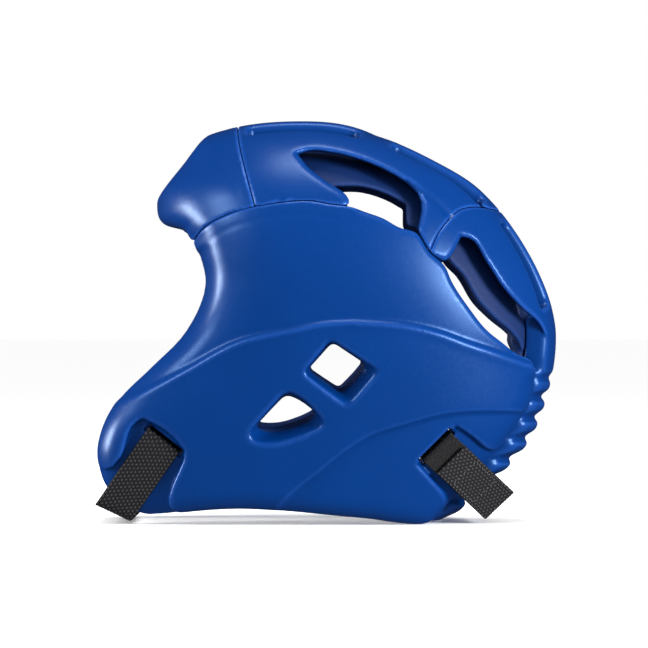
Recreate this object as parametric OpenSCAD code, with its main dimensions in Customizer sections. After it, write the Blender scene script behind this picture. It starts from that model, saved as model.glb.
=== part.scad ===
// Moulded foam head guard with hook-and-loop webbing straps under the chin and behind the neck.
// +Z is up, the wearer looks along -Y and the wearer's left is +X. It stands on its lower edges at z = 0.
// Outlines are side views: each point is [front-back, height] in mm at the default size, and scales with it.

/* [Overall size] */
// Length from the cheek flanges to the back of the skull, mm
guard_len = 292; // [240:1:340]
// Width over the shell at the temples, mm
guard_w = 212; // [175:1:250]
// Height from the lower edges to the crown, mm
guard_h = 255; // [210:1:300]

/* [Foam] */
// Thickness of the moulded outer layer, mm
skin_t = 13; // [9:0.5:18]
// Thickness of the softer pads inside it, mm
pad_t = 8; // [4:0.5:14]
// Distance from a shell edge back to the pad behind it, mm
pad_inset = 2; // [1:0.5:5]
// Height of the raised cheek pad over the shell around it, mm
cheek_rise = 2.5; // [1:0.5:4]
// Depth of the channels that the straps lie in, mm
channel_depth = 4; // [2:0.5:6]

/* [Crown and neck] */
// Width of each long slot through the crown, mm
slot_w = 21; // [12:1:26]
// Width of the band between the left and right crown slots, mm
band_w = 54; // [40:1:64]
// Length of each crown slot, mm
slot_len = 66; // [45:1:72]
// Width of the neck tongue, mm
tongue_w = 78; // [60:1:84]
// Gap on each side between the neck tongue and the wings, mm
tongue_gap = 2; // [1:0.5:5]
// Distance from one rib of the neck tongue to the next, mm
rib_pitch = 13; // [9:0.5:18]
// Depth of the grooves between the ribs, mm
rib_depth = 3.5; // [1.5:0.5:5]

/* [Straps] */
// Width of the webbing, mm
strap_w = 25; // [18:1:28]
// Thickness of the webbing, mm
strap_t = 2; // [1.4:0.1:2.6]
// Thickness of the hook patches, mm
hook_t = 1; // [0.8:0.1:1.4]
// Length of each strap's fastening end, mm
tab_len = 40; // [28:1:44]
// Gap round a strap in its slot through the foam, mm
strap_clear = 1.5; // [1:0.25:3]
// Gap between a strap and what it lies on, mm
lay_gap = 0.6; // [0.4:0.1:1.5]
// Radius at the middle of the strap where it turns to cross over, mm
turn_r = 5; // [3:0.5:8]
// Gap between the two sides of a strap's moving line, mm
hinge_gap = 2; // [1.5:0.25:3]

/* [Hidden] */
$fn = 24;
design = [292, 212, 255];                       // the size that the outlines are drawn at
ky = guard_len / design[0];
kz = guard_h / design[2];
half = guard_w / 2;
half_low = 0.735 * half;                        // half width at the lower edges
wide_z = 150 * kz;                              // height of the widest place
shift_y = -0.6;                                 // puts the middle of the outer box on y = 0
mid_y = place_y(-15);                           // where the shell is widest, seen from above
squareness = 2.3;                               // 2 is an ellipse seen from above
dome = 2.4;                                     // 2 is a round crown seen from the front
cols = 48;                                      // points round the shell
foam_t = skin_t + pad_t;
wing_in = tongue_w / 2 + tongue_gap;            // the wings stay this far from the middle
slot_x = band_w / 2 + slot_w / 2;
blue = [0.02, 0.27, 0.66];
pad_blue = [0.03, 0.20, 0.50];
black = [0.06, 0.06, 0.07];
pile_black = [0.09, 0.09, 0.10];

// How far the shell reaches forwards and backwards at a height: [height, front-back].
front_line = [[0, -196], [25, -203], [50, -200], [75, -178], [100, -150], [125, -119], [150, -104],
    [170, -104], [192, -108], [211, -107], [228, -93], [240.6, -84.5], [246, -76], [250, -66], [253, -48],
    [255, -20]];
back_line = [[0, 80], [10, 89], [30, 112], [50, 129], [70, 138], [95, 144.5], [118, 146.5], [135, 144],
    [150, 139], [168, 130.5], [188, 118], [204, 105], [217, 90.5], [230, 68], [241, 45], [248, 24], [253, 2],
    [255, -20]];
wing_back_line = [[0, 109], [30, 127], [50, 137], [70, 143.5], [95, 145.5], for (p = back_line) if (p[0] > 100) p];

// Outlines of the panels and of what is cut through them.
crown_seam = [[-57, 270], [-56, 243], [-51, 221], [-45, 198.5]];
brow_seam = [[-45, 198.5], [-62.5, 193.5], [-79, 183.5], [-84, 176.8]];
temple_seam = [[-45, 198.5], [-35.8, 200], [-23, 201.7], [-10, 202], [2, 200], [15.7, 198.2]];
wing_top = [[15.7, 198.2], [23.8, 195.3], [35, 191.3], [45, 185.7], [55.3, 182.5], [64, 170.6]];
wing_back_top = [[64, 170.6], [73.8, 161.2], [77.7, 152.4], [88.9, 135.4], [99.8, 121.9], [111, 113],
    [120, 106.2], [128, 102.8]];
nape_seam = [[64, 170.6], [69.7, 182.5], [77.9, 192.6], [83.5, 197], [91, 198.9], [111.4, 197], [170, 197]];
face_edge = [[-84, 176.8], [-80, 164.6], [-77.6, 153.7], [-78, 147.6], [-81, 137.6], [-90, 121.6],
    [-111, 99.7], [-132, 78.6], [-139, 67.7], [-143, 57.6], [-145.3, 45.7], [-144.5, 35.6], [-141.5, 25.6],
    [-131, 13]];
low_edge = [[-116, 5], [-104.7, 5], [-84.7, 7.5], [-55, 9.3], [-35, 8.5], [-18, 7.2], [5.7, 4.8], [27.6, 2.7],
    [46, 0], [63.7, 0]];
rear_edge = [[77, 11.4], [105, 41], [125.3, 67.8], [129, 74], [132.4, 87.7], [132, 95], [128, 102.8]];
brow_edge = [[-84, 176.8], [-92, 182], [-103, 185.5], [-130, 187.5]];
cheek_top = [[-132, 78.6], [-109.5, 88], [-92, 96.8], [-54, 116.7], [-23, 123.5], [-6, 127.3], [10.5, 128.8],
    [32, 128], [55, 125.4], [71.5, 121.4], [88, 115.4], [104.5, 110], [124, 103]];
cheek_cut = [[-30, 9], [-23.7, 16.6], [-16.8, 22.8], [-5.6, 31.5], [11, 45], [27, 55], [50, 62.6], [75, 68.8],
    [105, 70.4], [127, 69]];
vent_a = [[-18.2, 231.8], [-11.9, 233.7], [4.7, 232.4], [21.3, 228], [38.2, 220.8], [53.8, 210.2],
    [56.8, 206.8], [55.3, 178], [44, 181], [34, 187], [23, 191], [15, 195], [13.7, 203],
    [-0.8, 214.7], [-11.9, 223.7]];
vent_a_in = [[3.7, 211.2], [21.3, 211.2], [39.4, 205.6], [49.4, 200], [49.4, 180], [15, 194]];
vent_b = [[84, 180], [89, 179], [99.8, 164.3], [111, 147.6], [122.4, 135.4], [133.7, 125.4], [138.8, 114],
    [141, 96], [127, 98.5], [118, 102], [108, 109], [96, 118], [85, 132], [73, 151], [70, 162], [75.4, 165.6]];
vent_b_in = [[74, 168], [75.1, 165.5], [83.9, 156.7], [95.1, 138.5], [105.1, 128.5], [117.7, 117.3],
    [121, 112], [119.9, 106], [118, 102], [108, 109], [96, 118], [85, 132], [73, 151], [70, 162]];
ear_out = [[2.4, 115], [30.8, 96.3], [13.6, 74], [-13.7, 95.6]];
ear_in = [[4, 111], [20.4, 100.8], [7.4, 86.3], [-8.7, 97.5]];
jaw_out = [[-49, 57], [-46.5, 51.6], [-38.5, 49], [-15, 55.3], [-2.5, 63.4], [-5, 69.3], [-20.5, 82.6],
    [-25.5, 83.2]];
jaw_in = [[-41.6, 62.8], [-25.5, 78.3], [-20, 77], [-11.2, 70.8], [-20, 66.5], [-30.4, 62.8]];
chin_channel = [[-129, 42.5], [-119.3, 64], [-115, 66], [-111.5, 64.7], [-93, 51.5], [-89.5, 46],
    [-89.5, 42], [-92.3, 34.6], [-97, 24], [-102, -10], [-160, -10], [-160, 10]];
rear_channel = [[57, 38], [81, 61.2], [86.2, 58], [106, 40.5], [130, 15], [110, -12], [80.5, 12.8]];

// Straps: where each leaves the foam and where it turns to cross over, and the lean of its width there.
chin_slot = [-102, 52.8];
chin_turn = [-134.5, 6.6];
chin_lean = [-38.3, -25];
rear_slot = [68.5, 48.7];
rear_turn = [108.5, 11.2];
rear_lean = [45, 43];
surface_end = 0.6;                              // share of a strap's side run that lies on the shell

// --- the shell's form --------------------------------------------------------------------------------

// A front-back place in an outline, in the finished guard.
function place_y(y) = (y + shift_y) * ky;

function piece(x, p, i = 0) = i >= len(p) - 2 || x < p[i + 1][0] ? i : piece(x, p, i + 1);
function slope(p, i) =
    let (a = max(i - 1, 0), b = min(i + 1, len(p) - 1)) (p[b][1] - p[a][1]) / (p[b][0] - p[a][0]);
// A smooth curve through the points of a line, read at x.
function read(x, p) =
    let (i = piece(x, p), h = p[i + 1][0] - p[i][0], t = min(max((x - p[i][0]) / h, 0), 1))
    (1 + 2 * t) * pow(1 - t, 2) * p[i][1] + t * pow(1 - t, 2) * h * slope(p, i)
    + t * t * (3 - 2 * t) * p[i + 1][1] + t * t * (t - 1) * h * slope(p, i + 1);

function half_at(z) = z > wide_z
    ? half * pow(max(0, 1 - pow((z - wide_z) / (guard_h - wide_z), dome)), 1 / dome)
    : half - (half - half_low) * pow((wide_z - max(z, 0)) / wide_z, 1.6);
function front_at(z) = place_y(read(z / kz, front_line));
function back_at(z, wide) = place_y(read(z / kz, wide ? wing_back_line : back_line));

// [front, back, half width] of the level section at height z, a depth t inside the shell's face.
function section(z, t, wide) = z <= wide_z
    ? [front_at(z) + t, back_at(z, wide) - t, half_at(z) - t]
    : let (
        zo = wide_z + (z - wide_z) * (guard_h - wide_z) / (guard_h - t - wide_z),
        f0 = mid_y - front_at(wide_z),
        b0 = back_at(wide_z, wide) - mid_y
    ) [
        mid_y - (mid_y - front_at(zo)) * (f0 - t) / f0,
        mid_y + (back_at(zo, wide) - mid_y) * (b0 - t) / b0,
        half_at(zo) * (half - t) / half
    ];

function signed_pow(v, e) = sign(v) * pow(abs(v), e);
function ring(z, t, wide) = let (s = section(z, t, wide)) [for (i = [0 : cols - 1])
    let (a = 360 * i / cols, c = signed_pow(cos(a), 2 / squareness))
    [s[2] * signed_pow(sin(a), 2 / squareness), mid_y + c * (c < 0 ? mid_y - s[0] : s[1] - mid_y)]];

// Half width of the face at a place in the side view, a depth t inside it.
function face_x(y, z, t) =
    let (s = section(z, t, true), u = y < mid_y ? (mid_y - y) / (mid_y - s[0]) : (y - mid_y) / (s[1] - mid_y))
    s[2] * pow(max(0, 1 - pow(u, squareness)), 1 / squareness);

// The whole head form, a depth t inside the shell's face.
module form(t, wide = false) {
    top = guard_h - t;
    low = 9;
    high = 12;
    zs = [-6, for (i = [0 : low - 1]) wide_z * i / low,
        for (i = [0 : high]) wide_z + (top - wide_z) * sin(86 * i / high)];
    rows = [for (z = zs) [for (p = ring(z, t, wide)) [p[0], p[1], z]], [for (p = ring(zs[len(zs) - 1], t, wide)) [p[0], p[1], top]]];
    n = len(rows);
    polyhedron([for (r = rows) each r], concat(
        [[for (i = [cols - 1 : -1 : 0]) i]],
        [for (j = [0 : n - 2], i = [0 : cols - 1]) let (k = (i + 1) % cols) each [
            [j * cols + i, (j + 1) * cols + k, (j + 1) * cols + i],
            [j * cols + i, j * cols + k, (j + 1) * cols + k]]],
        [[for (i = [0 : cols - 1]) (n - 1) * cols + i]]));
}

// The layer of foam between two depths.
module layer(t0, t1, wide = false) {
    difference() {
        form(t0, wide);
        form(t1, wide);
    }
}

// --- helpers ------------------------------------------------------------------------------------------

function back_to_front(p) = [for (i = [len(p) - 1 : -1 : 0]) p[i]];
function sized(pts) = [for (p = pts) [place_y(p[0]), p[1] * kz]];

// A side-view outline, run through from x0 to x1. grow moves its edge out, and round softens its corners.
module cut(pts, x0, x1, grow = 0, round = 0) {
    translate([x0, 0, 0]) rotate([90, 0, 90]) linear_extrude(x1 - x0)
        offset(r = round) offset(delta = grow - round) polygon(sized(pts));
}

module both_sides() {
    children();
    mirror([1, 0, 0]) children();
}

far = 200;
forehead_area = concat([[-160, 270]], crown_seam, [for (i = [1 : 3]) brow_seam[i]],
    [for (i = [1 : 3]) brow_edge[i]], [[-160, 187.5]]);
crown_area = concat(crown_seam, [for (i = [1 : 5]) temple_seam[i]], [for (i = [1 : 5]) wing_top[i]],
    [for (i = [1 : 6]) nape_seam[i]], [[170, 270]]);
nape_area = concat(nape_seam, [[170, 96], [141, 96]], back_to_front(wing_back_top));
wing_area = concat(back_to_front(brow_seam), [for (i = [1 : 5]) temple_seam[i]], [for (i = [1 : 5]) wing_top[i]],
    [for (i = [1 : 7]) wing_back_top[i]], [for (i = [5 : -1 : 0]) rear_edge[i]], back_to_front(low_edge),
    [for (i = [13 : -1 : 1]) face_edge[i]]);
cheek_area = concat(cheek_top, [[160, 90], [160, -20], [-170, -20], [-170, 78.6]]);
cheek_low_area = concat(cheek_cut, [[160, 60], [160, -20], [-30, -20]]);

// A long rounded slot through the crown, its middle at [y, z], leaning with the shell there.
module crown_slot(x, y, z, lean, len, shrink) {
    w = slot_w - 2 * shrink;
    both_sides() translate([x, place_y(y), z * kz]) rotate([lean, 0, 0]) hull()
        for (sx = [-1, 1], sy = [-1, 1])
            translate([sx * (w / 2 - 5), sy * (len / 2 - shrink - 5), -45]) cylinder(r = 5, h = 90);
}
module crown_slots(shrink) {
    crown_slot(slot_x, -15, 252, 0, slot_len + 4, shrink);
    crown_slot(slot_x, 71, 222, -31.5, slot_len, shrink);
}
module nape_slots(shrink) {
    crown_slot(slot_x - 7, 127, 164, -61, slot_len - 7, shrink);
}

// A vent that narrows on its way in: out is its outline at the face, and in its outline through the foam.
module funnel(out, in, face, shrink) {
    hull() {
        cut(out, face, face + 12, -shrink, 3);
        cut(in, face - 9, face - 8, -shrink, 2);
    }
    cut(in, 30, face, -shrink, 2);
}
module cheek_vents(shrink) {
    funnel(ear_out, ear_in, face_x(place_y(5), 95 * kz, 1.5), shrink);
    funnel(jaw_out, jaw_in, face_x(place_y(-25), 66 * kz, 1.5), shrink);
}

// The way through the foam for a strap.
module strap_way(at, lean) {
    long = strap_w / 2 + strap_clear - 2;
    translate([20, place_y(at[0]), at[1] * kz]) rotate([lean, 0, 0]) hull()
        for (s = [-1, 1], r = [-1, 1])
            translate([0, s * long, r * (strap_t / 2 + strap_clear - 1.2)]) rotate([0, 90, 0]) cylinder(r = 1.2, h = 120);
}
module strap_ways() {
    strap_way(chin_slot, chin_lean[0]);
    strap_way(rear_slot, rear_lean[0]);
}

// --- panels -------------------------------------------------------------------------------------------

module wing() {
    difference() {
        intersection() {
            cut(wing_area, wing_in, far);
            union() {
                form(0, true);
                intersection() {
                    form(-cheek_rise, true);
                    difference() {
                        cut(cheek_area, 20, far);
                        cut(cheek_low_area, 20, far);
                    }
                }
            }
        }
        form(skin_t, true);
        cheek_vents(0);
        strap_ways();
        for (c = [chin_channel, rear_channel]) difference() {
            cut(c, 20, far, 0, 1.5);
            form(channel_depth, true);
        }
    }
}
module wing_pad() {
    difference() {
        intersection() {
            layer(skin_t, foam_t, true);
            cut(wing_area, wing_in + pad_inset, far, -pad_inset);
        }
        cheek_vents(-0.5);
        strap_ways();
    }
}

module forehead_panel() color(blue) difference() {
    intersection() {
        layer(0, skin_t);
        cut(forehead_area, -far, far);
    }
    crown_slots(0);
}
module forehead_pad() color(pad_blue) difference() {
    intersection() {
        layer(skin_t, foam_t);
        cut(forehead_area, -far, far, -pad_inset);
    }
    crown_slots(2);
}

module crown_panel() color(blue) difference() {
    intersection() {
        layer(0, skin_t);
        cut(crown_area, -far, far);
    }
    crown_slots(0);
    both_sides() cut(vent_a, 50, far, 0, 1.5);
}
module crown_pad() color(pad_blue) difference() {
    intersection() {
        layer(skin_t, foam_t);
        cut(crown_area, -far, far, -pad_inset);
    }
    crown_slots(2);
    both_sides() cut(vent_a_in, 50, far, 0, 1.5);
}

// The nape above the tongue, and the tongue that hangs down behind the neck.
module nape(t0, t1, inset, vent) {
    difference() {
        intersection() {
            layer(t0, t1);
            union() {
                cut(nape_area, -far, far, -inset);
                translate([-tongue_w / 2 + inset, 20, inset]) cube([tongue_w - 2 * inset, far, 108 * kz]);
            }
        }
        both_sides() cut(vent, tongue_w / 2 - 1, far, 0, 1.5);
        nape_slots(inset);
    }
}
module rib_grooves() {
    z0 = 12 * kz;
    for (i = [0 : floor((88 * kz - z0) / rib_pitch)]) {
        z = z0 + i * rib_pitch;
        y = back_at(z, false);
        hull() for (s = [-1, 1]) {
            translate([s * tongue_w, y - 14, z + 6]) rotate([0, 90, 0]) cylinder(r = 1, h = 0.1, center = true);
            translate([s * tongue_w, y - rib_depth + 3, z]) rotate([0, 90, 0]) cylinder(r = 2.4, h = 0.1, center = true);
            translate([s * tongue_w, y + 12, z - 5]) rotate([0, 90, 0]) cylinder(r = 3, h = 0.1, center = true);
        }
    }
}
module back_panel() color(blue) difference() {
    nape(0, skin_t, 0, vent_b);
    difference() {
        rib_grooves();
        form(rib_depth);
    }
}
module back_pad() color(pad_blue) nape(skin_t, foam_t, pad_inset, vent_b_in);

module left_wing() color(blue) wing();
module right_wing() color(blue) mirror([1, 0, 0]) wing();
module left_pad() color(pad_blue) wing_pad();
module right_pad() color(pad_blue) mirror([1, 0, 0]) wing_pad();

// --- straps -------------------------------------------------------------------------------------------

// A flat band through stations of [middle, half-width vector, outward direction].
module band(st, t) {
    n = len(st);
    polyhedron([for (s = st) each [s[0] + s[1] + s[2] * t / 2, s[0] - s[1] + s[2] * t / 2,
        s[0] - s[1] - s[2] * t / 2, s[0] + s[1] - s[2] * t / 2]], concat(
        [[0, 1, 2, 3]],
        [for (j = [0 : n - 2], i = [0 : 3]) let (k = (i + 1) % 4) [4 * j + i, 4 * j + 4 + i, 4 * j + 4 + k, 4 * j + k]],
        [[for (i = [3 : -1 : 0]) 4 * n - 4 + i]]));
}

function mix(a, b, f) = a + (b - a) * f;
function strap_yz(a, b, f) = [place_y(mix(a[0], b[0], f)), mix(a[1], b[1], f) * kz];
function run_len(a, b) = norm(strap_yz(a, b, 1) - strap_yz(a, b, 0));
// Height of the channel's floor under the middle of a strap; past the shell's edge the strap runs on straight.
function floor_x(a, b, f) = f <= surface_end
    ? let (p = strap_yz(a, b, f)) face_x(p[0], p[1], channel_depth)
    : floor_x(a, b, surface_end) + (floor_x(a, b, surface_end) - floor_x(a, b, surface_end - 0.1)) * 10 * (f - surface_end);
function lean_x(a, b, lean) = let (p = strap_yz(a, b, 0.3), w = strap_w / 2)
    (face_x(p[0] + w * cos(lean), p[1] + w * sin(lean), channel_depth)
    - face_x(p[0] - w * cos(lean), p[1] - w * sin(lean), channel_depth)) / strap_w;
function lean_at(lean, f) = mix(lean[0], lean[1], min(max(f, 0), 1));
function width_at(a, b, lean, f) = let (g = lean_at(lean, f))
    [lean_x(a, b, lean[0]) * (1 - min(max(f, 0), 1)), cos(g), sin(g)] * strap_w / 2;
function unit(v) = v / norm(v);
// A point on the channel's floor under a strap's side run.
function run_at(a, b, f) = let (p = strap_yz(a, b, f)) [floor_x(a, b, f), p[0], p[1]];
function run_dir(a, b, f) = unit(run_at(a, b, f + 0.05) - run_at(a, b, f - 0.05));
function out_at(a, b, lean, f) = let (n = unit(cross(width_at(a, b, lean, f), run_dir(a, b, f)))) n[0] > 0 ? n : -n;
// A station of a strap that lies lift mm over the channel's floor.
function run_station(a, b, lean, lift, f) = let (o = out_at(a, b, lean, f))
    [run_at(a, b, f) + o * lift, width_at(a, b, lean, f), o];

// Where a strap's side run ends and the turn begins.
function turn_start(a, b) = 1 - turn_r / run_len(a, b);
// The strap between the inside of the shell and a share f_end of its side run.
function rooted(a, b, lean, lift, f_end) = let (
    s = run_station(a, b, lean, lift, 0)[0], w = width_at(a, b, lean, 0),
    up = -unit([0, run_dir(a, b, 0)[1], run_dir(a, b, 0)[2]]), deep = channel_depth + foam_t
) concat(
    [[[s[0] - deep, s[1], s[2]], [0, w[1], w[2]], up], [[s[0] - 4, s[1], s[2]], w, up],
        [[s[0] - 0.6, s[1], s[2]] - up * 0.4, w, unit(up + [0.8, 0, 0])]],
    [for (f = [0.08, 0.2, 0.35, 0.5, 0.65, 0.8]) if (f < f_end - 0.05) run_station(a, b, lean, lift, f)],
    [run_station(a, b, lean, lift, f_end)]);

// The bend from a strap's side run towards the other side; it starts just past the hinge line.
hinge_turn = hinge_gap / 2 / turn_r * 180 / PI;
function turn(a, b, lean, lift, up_to) = let (
    f = turn_start(a, b), s = run_station(a, b, lean, lift, f), d = run_dir(a, b, f), o = s[2]
) [for (k = [0 : 4]) let (g = mix(hinge_turn, up_to, k / 4))
    [s[0] + d * turn_r * sin(g) - o * turn_r * (1 - cos(g)), width_at(a, b, lean, 1), unit(o * cos(g) + d * sin(g))]];
function flip(st) = [for (i = [len(st) - 1 : -1 : 0]) let (s = st[i])
    [[-s[0][0], s[0][1], s[0][2]], [-s[1][0], s[1][1], s[1][2]], [-s[2][0], s[2][1], s[2][2]]]];

root_lift = lay_gap + strap_t / 2;
hook_lift = lay_gap + strap_t + lay_gap + hook_t / 2;
tab_lift = hook_lift + hook_t / 2 + strap_t / 2 + 0.1;
chin_f = turn_start(chin_slot, chin_turn);
rear_f = turn_start(rear_slot, rear_turn);

// The part that crosses over: a bend, a straight run and a bend on the far side, at its own lift there.
module crossing(a, b, lean, away_lift) {
    bend = acos(-run_dir(a, b, turn_start(a, b))[0]) - 3;
    band(concat(turn(a, b, lean, root_lift, bend), flip(turn(a, b, lean, away_lift, bend))), strap_t);
}
module root(a, b, lean) {
    f = turn_start(a, b) - hinge_gap / 2 / run_len(a, b);
    band(rooted(a, b, lean, root_lift, f), strap_t);
}
module loop_strap(a, b, lean) {
    band(rooted(a, b, lean, root_lift, 0.8), strap_t);
}
// Part of a strap's fastening end, between two of the twelve steps up its side run from the turn.
module tab_part(a, b, lean, lift, t, first, last, narrow) {
    f = turn_start(a, b);
    m = run_len(a, b);
    band([for (k = [last : -1 : first])
        let (s = run_station(a, b, lean, lift, f - mix(hinge_gap / 2, tab_len, k / 12) / m))
        [s[0], s[1] * (1 - narrow), s[2]]], t);
}
module tab(a, b, lean) {
    tab_part(a, b, lean, tab_lift, strap_t, 0, 12, 0);
}
module hook_patch(a, b, lean) {
    tab_part(a, b, lean, hook_lift, hook_t, 4, 11, 0.1);
}
// The folded and sewn end that holds a strap inside the shell.
module stop(a, b, lean) {
    s = run_station(a, b, lean, root_lift, 0)[0];
    translate([s[0] - channel_depth - foam_t - 2, s[1], s[2]]) rotate([lean[0], 0, 0])
        cube([4, strap_w, 9], center = true);
}

module chin_strap_root() color(black) root(chin_slot, chin_turn, chin_lean);
module chin_strap() color(black) crossing(chin_slot, chin_turn, chin_lean, tab_lift);
module chin_strap_tab() color(black) mirror([1, 0, 0]) tab(chin_slot, chin_turn, chin_lean);
module chin_hook_patch() color(black) mirror([1, 0, 0]) hook_patch(chin_slot, chin_turn, chin_lean);
module chin_loop_strap() color(pile_black) mirror([1, 0, 0]) loop_strap(chin_slot, chin_turn, chin_lean);
module rear_strap_root() color(black) mirror([1, 0, 0]) root(rear_slot, rear_turn, rear_lean);
module rear_strap() color(black) mirror([1, 0, 0]) crossing(rear_slot, rear_turn, rear_lean, tab_lift);
module rear_strap_tab() color(black) tab(rear_slot, rear_turn, rear_lean);
module rear_hook_patch() color(black) hook_patch(rear_slot, rear_turn, rear_lean);
module rear_loop_strap() color(pile_black) loop_strap(rear_slot, rear_turn, rear_lean);
module chin_strap_stop() color(black) stop(chin_slot, chin_turn, chin_lean);
module chin_loop_stop() color(black) mirror([1, 0, 0]) stop(chin_slot, chin_turn, chin_lean);
module rear_strap_stop() color(black) mirror([1, 0, 0]) stop(rear_slot, rear_turn, rear_lean);
module rear_loop_stop() color(black) stop(rear_slot, rear_turn, rear_lean);

forehead_panel();
crown_panel();
back_panel();
left_wing();
right_wing();
forehead_pad();
crown_pad();
back_pad();
left_pad();
right_pad();
chin_strap_root();
chin_strap();
chin_strap_tab();
chin_hook_patch();
chin_loop_strap();
rear_strap_root();
rear_strap();
rear_strap_tab();
rear_hook_patch();
rear_loop_strap();
chin_strap_stop();
chin_loop_stop();
rear_strap_stop();
rear_loop_stop();
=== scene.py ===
"""Moulded foam head guard: soft shell, pads, webbing straps and a plain studio, as add-on operators."""

import math
from collections import namedtuple

import bpy
import numpy as np
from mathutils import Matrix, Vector


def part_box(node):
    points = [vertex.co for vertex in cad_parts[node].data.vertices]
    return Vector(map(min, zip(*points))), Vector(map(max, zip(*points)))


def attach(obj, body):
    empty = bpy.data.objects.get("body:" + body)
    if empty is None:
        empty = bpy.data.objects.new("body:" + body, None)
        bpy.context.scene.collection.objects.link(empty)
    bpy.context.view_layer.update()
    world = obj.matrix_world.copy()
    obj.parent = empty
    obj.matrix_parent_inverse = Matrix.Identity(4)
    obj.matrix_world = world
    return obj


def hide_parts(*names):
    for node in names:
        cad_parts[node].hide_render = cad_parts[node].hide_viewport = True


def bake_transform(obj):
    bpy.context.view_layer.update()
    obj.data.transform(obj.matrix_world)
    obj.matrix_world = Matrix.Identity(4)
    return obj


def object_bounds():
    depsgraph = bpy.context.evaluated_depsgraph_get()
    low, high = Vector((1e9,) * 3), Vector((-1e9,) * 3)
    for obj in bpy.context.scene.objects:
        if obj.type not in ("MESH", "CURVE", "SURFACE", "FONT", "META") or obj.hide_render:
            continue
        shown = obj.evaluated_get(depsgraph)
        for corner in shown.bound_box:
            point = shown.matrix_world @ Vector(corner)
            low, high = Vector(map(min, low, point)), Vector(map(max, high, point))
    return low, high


bl_info = {
    "name": "Head Guard",
    "version": (1, 0, 0),
    "blender": (4, 5, 0),
    "location": "View3D > Sidebar > Head Guard",
    "description": "Builds the foam shell, pads, straps and studio of a head guard round its frame",
    "category": "Add Mesh",
}

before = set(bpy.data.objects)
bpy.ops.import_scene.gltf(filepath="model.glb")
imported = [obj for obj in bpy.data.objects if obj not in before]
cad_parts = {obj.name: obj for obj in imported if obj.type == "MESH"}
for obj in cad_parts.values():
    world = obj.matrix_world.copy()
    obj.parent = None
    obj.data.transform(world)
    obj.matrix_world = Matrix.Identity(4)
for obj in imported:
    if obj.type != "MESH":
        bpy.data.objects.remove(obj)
CAD_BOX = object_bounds()
MM = 0.001

# ---- The guard's form, in millimetres. Outlines are side views: [front-back, height].

WIDTH, HEIGHT = 212.0, 255.0
SQUARENESS = 2.3
DOME = 2.4
SHIFT = -0.6
HALF = WIDTH / 2
HALF_LOW = 0.735 * HALF
WIDE_Z = 150.0
CAP_Z = 246.0
MID_Y = -15 + SHIFT
SKIN_T = 13.0
FOAM_T = 21.0
PAD_INSET = 2.0
CHANNEL_DEPTH = 4.0
TONGUE_HALF = 39.0
WING_IN = 41.0
SLOT_X = 37.5
SLOT_W = 21.0
SLOT_CORNER = 5.0
SEAM_GAP = 0.12
RIB_PITCH = 13.0
RIB_START = 14.5
RIB_SHARE = 1.05
TONGUE_TOP = 108.0
STRAP_W = 25.0
STRAP_T = 2.0
HOOK_T = 1.0
LAY_GAP = 0.6
TURN_R = 5.0
HINGE_GAP = 2.0
TAB_LEN = 40.0
SURFACE_END = 0.6
SHARP_TURN = 48.0
CURVE_STEPS = 5

FRONT_LINE = [[0, -196], [25, -203], [50, -200], [75, -178], [100, -150], [125, -119], [150, -104],
              [170, -104], [192, -108], [211, -107], [228, -93], [240.6, -84.5], [246, -76]]
BACK_LINE = [[0, 80], [10, 89], [30, 112], [50, 129], [70, 138], [95, 144.5], [118, 146.5], [135, 144],
             [150, 139], [168, 130.5], [188, 118], [204, 105], [217, 90.5], [230, 68], [241, 45], [246, 31]]
WING_BACK_LINE = [[0, 109], [30, 127], [50, 137], [70, 143.5], [95, 145.5]] + BACK_LINE[6:]

CROWN_SEAM = [[-57, 270], [-56, 243], [-51, 221], [-45, 198.5]]
BROW_SEAM = [[-45, 198.5], [-62.5, 193.5], [-79, 183.5], [-84, 176.8]]
TEMPLE_SEAM = [[-45, 198.5], [-35.8, 200], [-23, 201.7], [-10, 202], [2, 200], [15.7, 198.2]]
WING_TOP = [[15.7, 198.2], [23.8, 195.3], [35, 191.3], [45, 185.7], [55.3, 182.5], [64, 170.6]]
WING_BACK_TOP = [[64, 170.6], [73.8, 161.2], [77.7, 152.4], [88.9, 135.4], [99.8, 121.9], [111, 113],
                 [120, 106.2], [128, 102.8]]
NAPE_SEAM = [[64, 170.6], [69.7, 182.5], [77.9, 192.6], [83.5, 197], [91, 198.9], [111.4, 197], [170, 197]]
FACE_EDGE = [[-84, 176.8], [-80, 164.6], [-77.6, 153.7], [-78, 147.6], [-81, 137.6], [-90, 121.6],
             [-111, 99.7], [-132, 78.6], [-139, 67.7], [-143, 57.6], [-145.3, 45.7], [-144.5, 35.6],
             [-141.5, 25.6], [-131, 13], [-116, 5]]
LOW_EDGE = [[-116, 5], [-104.7, 5], [-84.7, 7.5], [-55, 9.3], [-35, 8.5], [-18, 7.2], [5.7, 4.8],
            [27.6, 2.7], [46, 0], [63.7, 0], [77, 11.4]]
REAR_EDGE = [[77, 11.4], [105, 41], [125.3, 67.8], [129, 74], [132.4, 87.7], [132, 95], [128, 102.8]]
BROW_EDGE = [[-84, 176.8], [-92, 182], [-103, 185.5], [-130, 187.5], [-160, 187.5]]
CHEEK_TOP = [[-132, 78.6], [-109.5, 88], [-92, 96.8], [-54, 116.7], [-23, 123.5], [-6, 127.3],
             [10.5, 128.8], [32, 128], [55, 125.4], [71.5, 121.4], [88, 115.4], [104.5, 110], [124, 103]]
CHEEK_CUT = [[-30, 9], [-23.7, 16.6], [-16.8, 22.8], [-5.6, 31.5], [11, 45], [27, 55], [50, 62.6],
             [75, 68.8], [105, 70.4], [127, 69]]
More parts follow.
